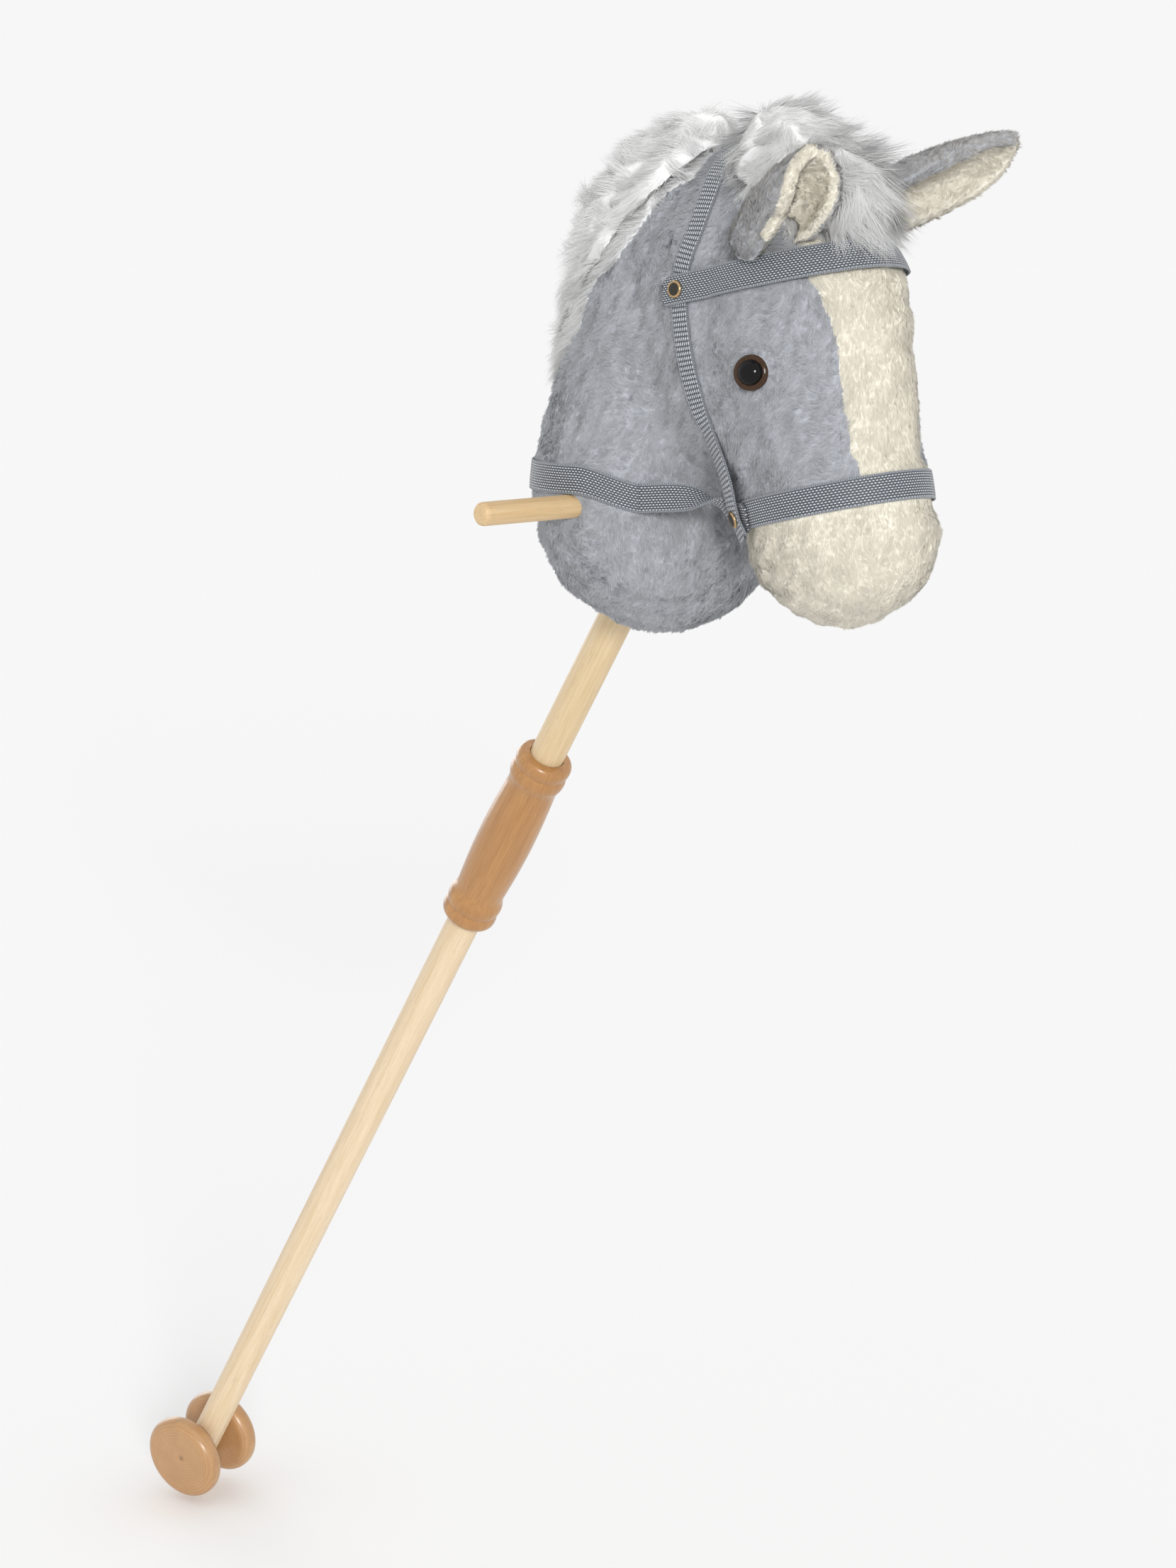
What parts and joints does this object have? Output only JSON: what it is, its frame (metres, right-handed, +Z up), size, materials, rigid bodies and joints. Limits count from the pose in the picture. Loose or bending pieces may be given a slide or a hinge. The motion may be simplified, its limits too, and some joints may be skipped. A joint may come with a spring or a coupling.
{
  "type": "hobby horse",
  "caption": "Stuffed plush horse head with a webbing bridle on a two-part wooden pole, with a crossbar to hold, a turned grip and a pair of wooden wheels.",
  "frame": {"origin": "centre of the turned grip, on the pole's axis", "axes": "+Z up, +X the way the horse faces, +Y to the horse's left, along the crossbar"},
  "size_m": [0.6633, 0.281, 0.9254],
  "materials": {
    "pale_wood": "matt, sanded beech",
    "honey_wood": "lacquered, honey brown",
    "grey_plush": "short pile plush over soft filling",
    "cream_plush": "short pile plush over soft filling",
    "white_pile": "long tufted pile",
    "grey_webbing": "flat woven webbing",
    "eye_plastic": "polished dome",
    "lock_plastic": "moulded",
    "rivet_metal": "polished"
  },
  "bodies": {
    "horse": {"upper_pole": "pale_wood", "lower_pole": "pale_wood", "turned_grip": "honey_wood", "crossbar": "pale_wood", "neck": "grey_plush", "head": "grey_plush", "blaze": "cream_plush", "muzzle": "cream_plush", "mane": "white_pile", "forelock": "white_pile", "ear_left": "grey_plush", "ear_right": "grey_plush", "ear_lining_left": "cream_plush", "ear_lining_right": "cream_plush", "eye_left": "eye_plastic", "eye_right": "eye_plastic", "eye_lock_left": "lock_plastic", "eye_lock_right": "lock_plastic", "headpiece": "grey_webbing", "browband": "grey_webbing", "noseband": "grey_webbing", "rein": "grey_webbing", "brow_rivet_left": "rivet_metal", "brow_rivet_right": "rivet_metal", "bit_rivet_left": "rivet_metal", "bit_rivet_right": "rivet_metal"},
    "wheelset": {"axle": "pale_wood", "wheel_left": "honey_wood", "wheel_right": "honey_wood"}
  },
  "joints": [
    {"name": "wheel_spin", "type": "hinge", "parent": "horse", "child": "wheelset", "pos_m": [-0.32099, 0, -0.47767], "axis": [-0.2288, 0.9613, 0.1537], "continuous": true}
  ]
}
